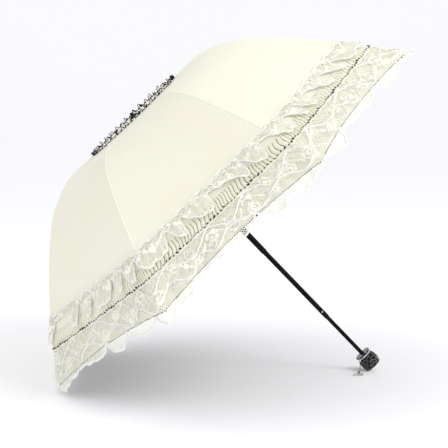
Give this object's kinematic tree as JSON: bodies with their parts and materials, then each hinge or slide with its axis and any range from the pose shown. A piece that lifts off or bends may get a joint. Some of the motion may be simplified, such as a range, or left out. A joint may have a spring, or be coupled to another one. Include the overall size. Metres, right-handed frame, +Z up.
{
  "type": "lace parasol",
  "caption": "Folding parasol with an eight-gore cream canopy, lace and ribbon bands round the rim, a telescoping shaft and a short faceted handle.",
  "frame": {"origin": "on the floor under the centre of the open parasol as it lies on two rib tips and its handle", "axes": "+Z up; the handle points to +X, the canopy's crown to -X; -Y is the side of the nearest gore"},
  "size_m": [0.616, 0.8206, 0.5949],
  "materials": {
    "canopy_cloth": "tightly woven cream pongee, black coating inside",
    "white_lace": "ivory corded lace",
    "ribbon_cloth": "ruched satin ribbon",
    "black_lace": "black lace frill",
    "shaft_steel": "gloss black enamel",
    "rib_steel": "satin black enamel",
    "spring_wire": "bright wire",
    "chrome_trim": "polished",
    "black_plastic": "moulded nylon",
    "handle_plastic": "high gloss",
    "bead_black": "gloss",
    "cord": "braided thin cord"
  },
  "bodies": {
    "root": {"top_tube": "shaft_steel", "ferrule_cap": "black_plastic", "top_notch": "black_plastic", "notch_wire": "spring_wire", "canopy": "canopy_cloth", "upper_lace": "white_lace", "ribbon": "ribbon_cloth", "lower_lace": "white_lace", "crown_lace": "black_lace"},
    "runner": {"runner": "black_plastic", "runner_wire": "spring_wire"},
    "runner_catch": {"runner_catch": "spring_wire"},
    "upper_middle_tube": {"upper_middle_tube": "shaft_steel"},
    "lower_middle_tube": {"lower_middle_tube": "shaft_steel"},
    "bottom_tube": {"bottom_tube": "shaft_steel", "handle_knob": "handle_plastic", "handle_ring": "chrome_trim", "handle_collar": "handle_plastic", "charm_eyelet": "bead_black", "charm_cord": "cord", "charm_beads": "bead_black", "charm_bow": "chrome_trim"},
    "tube_button": {"tube_button": "chrome_trim"},
    "top_rib_1": {"top_rib_1": "rib_steel"},
    "strut_1": {"strut_1": "rib_steel"},
    "middle_rib_1": {"middle_rib_1": "rib_steel"},
    "outer_rib_1": {"outer_rib_1": "rib_steel"},
    "top_rib_2": {"top_rib_2": "rib_steel"},
    "strut_2": {"strut_2": "rib_steel"},
    "middle_rib_2": {"middle_rib_2": "rib_steel"},
    "outer_rib_2": {"outer_rib_2": "rib_steel"},
    "top_rib_3": {"top_rib_3": "rib_steel"},
    "strut_3": {"strut_3": "rib_steel"},
    "middle_rib_3": {"middle_rib_3": "rib_steel"},
    "outer_rib_3": {"outer_rib_3": "rib_steel"},
    "top_rib_4": {"top_rib_4": "rib_steel"},
    "strut_4": {"strut_4": "rib_steel"},
    "middle_rib_4": {"middle_rib_4": "rib_steel"},
    "outer_rib_4": {"outer_rib_4": "rib_steel"},
    "top_rib_5": {"top_rib_5": "rib_steel"},
    "strut_5": {"strut_5": "rib_steel"},
    "middle_rib_5": {"middle_rib_5": "rib_steel"},
    "outer_rib_5": {"outer_rib_5": "rib_steel"},
    "top_rib_6": {"top_rib_6": "rib_steel"},
    "strut_6": {"strut_6": "rib_steel"},
    "middle_rib_6": {"middle_rib_6": "rib_steel"},
    "outer_rib_6": {"outer_rib_6": "rib_steel"},
    "top_rib_7": {"top_rib_7": "rib_steel"},
    "strut_7": {"strut_7": "rib_steel"},
    "middle_rib_7": {"middle_rib_7": "rib_steel"},
    "outer_rib_7": {"outer_rib_7": "rib_steel"},
    "top_rib_8": {"top_rib_8": "rib_steel"},
    "strut_8": {"strut_8": "rib_steel"},
    "middle_rib_8": {"middle_rib_8": "rib_steel"},
    "outer_rib_8": {"outer_rib_8": "rib_steel"}
  },
  "joints": [
    {"name": "runner_slide", "type": "slide", "parent": "root", "child": "runner", "axis": [0.6908, 0, -0.7231], "range_m": [0, 0.0982], "deforming": ["canopy", "upper_lace", "ribbon", "lower_lace", "crown_lace", "runner_catch"]},
    {"name": "top_rib_1_hinge", "type": "hinge", "parent": "root", "child": "top_rib_1", "pos_m": [-0.16057, -0.00831, 0.45372], "axis": [0.668, -0.3827, 0.6382], "range_deg": [0, 83.08]},
    {"name": "strut_1_hinge", "type": "hinge", "parent": "runner", "child": "strut_1", "pos_m": [-0.12177, -0.01155, 0.41118], "axis": [0.668, -0.3827, 0.6382], "range_deg": [-49.26, 0]},
    {"name": "middle_rib_1_hinge", "type": "hinge", "parent": "top_rib_1", "child": "middle_rib_1", "pos_m": [-0.20878, -0.18824, 0.39629], "axis": [0.668, -0.3827, 0.6382], "range_deg": [-208.62, 0]},
    {"name": "outer_rib_1_hinge", "type": "hinge", "parent": "middle_rib_1", "child": "outer_rib_1", "pos_m": [-0.17278, -0.30984, 0.2857], "axis": [0.668, -0.3827, 0.6382], "range_deg": [0, 161.62]},
    {"name": "top_rib_2_hinge", "type": "hinge", "parent": "root", "child": "top_rib_2", "pos_m": [-0.15559, -0.00831, 0.45848], "axis": [0.668, 0.3827, 0.6382], "range_deg": [0, 83.08]},
    {"name": "strut_2_hinge", "type": "hinge", "parent": "runner", "child": "strut_2", "pos_m": [-0.11486, -0.01155, 0.41778], "axis": [0.668, 0.3827, 0.6382], "range_deg": [-49.26, 0]},
    {"name": "middle_rib_2_hinge", "type": "hinge", "parent": "top_rib_2", "child": "middle_rib_2", "pos_m": [-0.09602, -0.18824, 0.50402], "axis": [0.668, 0.3827, 0.6382], "range_deg": [-208.62, 0]},
    {"name": "outer_rib_2_hinge", "type": "hinge", "parent": "middle_rib_2", "child": "outer_rib_2", "pos_m": [0.01281, -0.30984, 0.46302], "axis": [0.668, 0.3827, 0.6382], "range_deg": [0, 161.62]},
    {"name": "top_rib_3_hinge", "type": "hinge", "parent": "root", "child": "top_rib_3", "pos_m": [-0.15207, -0.00344, 0.46184], "axis": [0.2767, 0.9239, 0.2644], "range_deg": [0, 83.08]},
    {"name": "strut_3_hinge", "type": "hinge", "parent": "runner", "child": "strut_3", "pos_m": [-0.10997, -0.00478, 0.42246], "axis": [0.2767, 0.9239, 0.2644], "range_deg": [-49.26, 0]},
    {"name": "middle_rib_3_hinge", "type": "hinge", "parent": "top_rib_3", "child": "middle_rib_3", "pos_m": [-0.01629, -0.07797, 0.58019], "axis": [0.2767, 0.9239, 0.2644], "range_deg": [-208.62, 0]},
    {"name": "outer_rib_3_hinge", "type": "hinge", "parent": "middle_rib_3", "child": "outer_rib_3", "pos_m": [0.14405, -0.12834, 0.58839], "axis": [0.2767, 0.9239, 0.2644], "range_deg": [0, 161.62]},
    {"name": "top_rib_4_hinge", "type": "hinge", "parent": "root", "child": "top_rib_4", "pos_m": [-0.15207, 0.00344, 0.46184], "axis": [-0.2767, 0.9239, -0.2644], "range_deg": [0, 83.08]},
    {"name": "strut_4_hinge", "type": "hinge", "parent": "runner", "child": "strut_4", "pos_m": [-0.10997, 0.00478, 0.42246], "axis": [-0.2767, 0.9239, -0.2644], "range_deg": [-49.26, 0]},
    {"name": "middle_rib_4_hinge", "type": "hinge", "parent": "top_rib_4", "child": "middle_rib_4", "pos_m": [-0.01629, 0.07797, 0.58019], "axis": [-0.2767, 0.9239, -0.2644], "range_deg": [-208.62, 0]},
    {"name": "outer_rib_4_hinge", "type": "hinge", "parent": "middle_rib_4", "child": "outer_rib_4", "pos_m": [0.14405, 0.12834, 0.58839], "axis": [-0.2767, 0.9239, -0.2644], "range_deg": [0, 161.62]},
    {"name": "top_rib_5_hinge", "type": "hinge", "parent": "root", "child": "top_rib_5", "pos_m": [-0.15559, 0.00831, 0.45848], "axis": [-0.668, 0.3827, -0.6382], "range_deg": [0, 83.08]},
    {"name": "strut_5_hinge", "type": "hinge", "parent": "runner", "child": "strut_5", "pos_m": [-0.11486, 0.01155, 0.41778], "axis": [-0.668, 0.3827, -0.6382], "range_deg": [-49.26, 0]},
    {"name": "middle_rib_5_hinge", "type": "hinge", "parent": "top_rib_5", "child": "middle_rib_5", "pos_m": [-0.09602, 0.18824, 0.50402], "axis": [-0.668, 0.3827, -0.6382], "range_deg": [-208.62, 0]},
    {"name": "outer_rib_5_hinge", "type": "hinge", "parent": "middle_rib_5", "child": "outer_rib_5", "pos_m": [0.01281, 0.30984, 0.46302], "axis": [-0.668, 0.3827, -0.6382], "range_deg": [0, 161.62]},
    {"name": "top_rib_6_hinge", "type": "hinge", "parent": "root", "child": "top_rib_6", "pos_m": [-0.16057, 0.00831, 0.45372], "axis": [-0.668, -0.3827, -0.6382], "range_deg": [0, 83.08]},
    {"name": "strut_6_hinge", "type": "hinge", "parent": "runner", "child": "strut_6", "pos_m": [-0.12177, 0.01155, 0.41118], "axis": [-0.668, -0.3827, -0.6382], "range_deg": [-49.26, 0]},
    {"name": "middle_rib_6_hinge", "type": "hinge", "parent": "top_rib_6", "child": "middle_rib_6", "pos_m": [-0.20878, 0.18824, 0.39629], "axis": [-0.668, -0.3827, -0.6382], "range_deg": [-208.62, 0]},
    {"name": "outer_rib_6_hinge", "type": "hinge", "parent": "middle_rib_6", "child": "outer_rib_6", "pos_m": [-0.17278, 0.30984, 0.2857], "axis": [-0.668, -0.3827, -0.6382], "range_deg": [0, 161.62]},
    {"name": "top_rib_7_hinge", "type": "hinge", "parent": "root", "child": "top_rib_7", "pos_m": [-0.16409, 0.00344, 0.45036], "axis": [-0.2767, -0.9239, -0.2644], "range_deg": [0, 83.08]},
    {"name": "strut_7_hinge", "type": "hinge", "parent": "runner", "child": "strut_7", "pos_m": [-0.12667, 0.00478, 0.4065], "axis": [-0.2767, -0.9239, -0.2644], "range_deg": [-49.26, 0]},
    {"name": "middle_rib_7_hinge", "type": "hinge", "parent": "top_rib_7", "child": "middle_rib_7", "pos_m": [-0.28851, 0.07797, 0.32012], "axis": [-0.2767, -0.9239, -0.2644], "range_deg": [-208.62, 0]},
    {"name": "outer_rib_7_hinge", "type": "hinge", "parent": "middle_rib_7", "child": "outer_rib_7", "pos_m": [-0.30402, 0.12834, 0.16033], "axis": [-0.2767, -0.9239, -0.2644], "range_deg": [0, 161.62]},
    {"name": "top_rib_8_hinge", "type": "hinge", "parent": "root", "child": "top_rib_8", "pos_m": [-0.16409, -0.00344, 0.45036], "axis": [0.2767, -0.9239, 0.2644], "range_deg": [0, 83.08]},
    {"name": "strut_8_hinge", "type": "hinge", "parent": "runner", "child": "strut_8", "pos_m": [-0.12667, -0.00478, 0.4065], "axis": [0.2767, -0.9239, 0.2644], "range_deg": [-49.26, 0]},
    {"name": "middle_rib_8_hinge", "type": "hinge", "parent": "top_rib_8", "child": "middle_rib_8", "pos_m": [-0.28851, -0.07797, 0.32012], "axis": [0.2767, -0.9239, 0.2644], "range_deg": [-208.62, 0]},
    {"name": "outer_rib_8_hinge", "type": "hinge", "parent": "middle_rib_8", "child": "outer_rib_8", "pos_m": [-0.30402, -0.12834, 0.16033], "axis": [0.2767, -0.9239, 0.2644], "range_deg": [0, 161.62]},
    {"name": "upper_middle_tube_slide", "type": "slide", "parent": "root", "child": "upper_middle_tube", "axis": [-0.6908, 0, 0.7231], "range_m": [0, 0.1465]},
    {"name": "lower_middle_tube_slide", "type": "slide", "parent": "upper_middle_tube", "child": "lower_middle_tube", "axis": [-0.6908, 0, 0.7231], "range_m": [0, 0.164], "deforming": ["tube_button"]},
    {"name": "bottom_tube_slide", "type": "slide", "parent": "lower_middle_tube", "child": "bottom_tube", "axis": [-0.6908, 0, 0.7231], "range_m": [0, 0.092], "deforming": ["tube_button"]},
    {"name": "runner_catch_press", "type": "slide", "parent": "root", "child": "runner_catch", "axis": [0, 1, 0], "range_m": [0, 0.0016], "stiffness_N_per_m": 400},
    {"name": "tube_button_press", "type": "slide", "parent": "bottom_tube", "child": "tube_button", "axis": [0, 1, 0], "range_m": [0, 0.0014], "stiffness_N_per_m": 400}
  ],
  "couplings": [
    {"joint": "top_rib_1_hinge", "follows": "runner_slide", "rad_per_m": 14.766},
    {"joint": "strut_1_hinge", "follows": "runner_slide", "rad_per_m": -8.754},
    {"joint": "middle_rib_1_hinge", "follows": "runner_slide", "rad_per_m": -37.078},
    {"joint": "outer_rib_1_hinge", "follows": "runner_slide", "rad_per_m": 28.724},
    {"joint": "top_rib_2_hinge", "follows": "runner_slide", "rad_per_m": 14.766},
    {"joint": "strut_2_hinge", "follows": "runner_slide", "rad_per_m": -8.754},
    {"joint": "middle_rib_2_hinge", "follows": "runner_slide", "rad_per_m": -37.078},
    {"joint": "outer_rib_2_hinge", "follows": "runner_slide", "rad_per_m": 28.724},
    {"joint": "top_rib_3_hinge", "follows": "runner_slide", "rad_per_m": 14.766},
    {"joint": "strut_3_hinge", "follows": "runner_slide", "rad_per_m": -8.754},
    {"joint": "middle_rib_3_hinge", "follows": "runner_slide", "rad_per_m": -37.078},
    {"joint": "outer_rib_3_hinge", "follows": "runner_slide", "rad_per_m": 28.724},
    {"joint": "top_rib_4_hinge", "follows": "runner_slide", "rad_per_m": 14.766},
    {"joint": "strut_4_hinge", "follows": "runner_slide", "rad_per_m": -8.754},
    {"joint": "middle_rib_4_hinge", "follows": "runner_slide", "rad_per_m": -37.078},
    {"joint": "outer_rib_4_hinge", "follows": "runner_slide", "rad_per_m": 28.724},
    {"joint": "top_rib_5_hinge", "follows": "runner_slide", "rad_per_m": 14.766},
    {"joint": "strut_5_hinge", "follows": "runner_slide", "rad_per_m": -8.754},
    {"joint": "middle_rib_5_hinge", "follows": "runner_slide", "rad_per_m": -37.078},
    {"joint": "outer_rib_5_hinge", "follows": "runner_slide", "rad_per_m": 28.724},
    {"joint": "top_rib_6_hinge", "follows": "runner_slide", "rad_per_m": 14.766},
    {"joint": "strut_6_hinge", "follows": "runner_slide", "rad_per_m": -8.754},
    {"joint": "middle_rib_6_hinge", "follows": "runner_slide", "rad_per_m": -37.078},
    {"joint": "outer_rib_6_hinge", "follows": "runner_slide", "rad_per_m": 28.724},
    {"joint": "top_rib_7_hinge", "follows": "runner_slide", "rad_per_m": 14.766},
    {"joint": "strut_7_hinge", "follows": "runner_slide", "rad_per_m": -8.754},
    {"joint": "middle_rib_7_hinge", "follows": "runner_slide", "rad_per_m": -37.078},
    {"joint": "outer_rib_7_hinge", "follows": "runner_slide", "rad_per_m": 28.724},
    {"joint": "top_rib_8_hinge", "follows": "runner_slide", "rad_per_m": 14.766},
    {"joint": "strut_8_hinge", "follows": "runner_slide", "rad_per_m": -8.754},
    {"joint": "middle_rib_8_hinge", "follows": "runner_slide", "rad_per_m": -37.078},
    {"joint": "outer_rib_8_hinge", "follows": "runner_slide", "rad_per_m": 28.724}
  ]
}
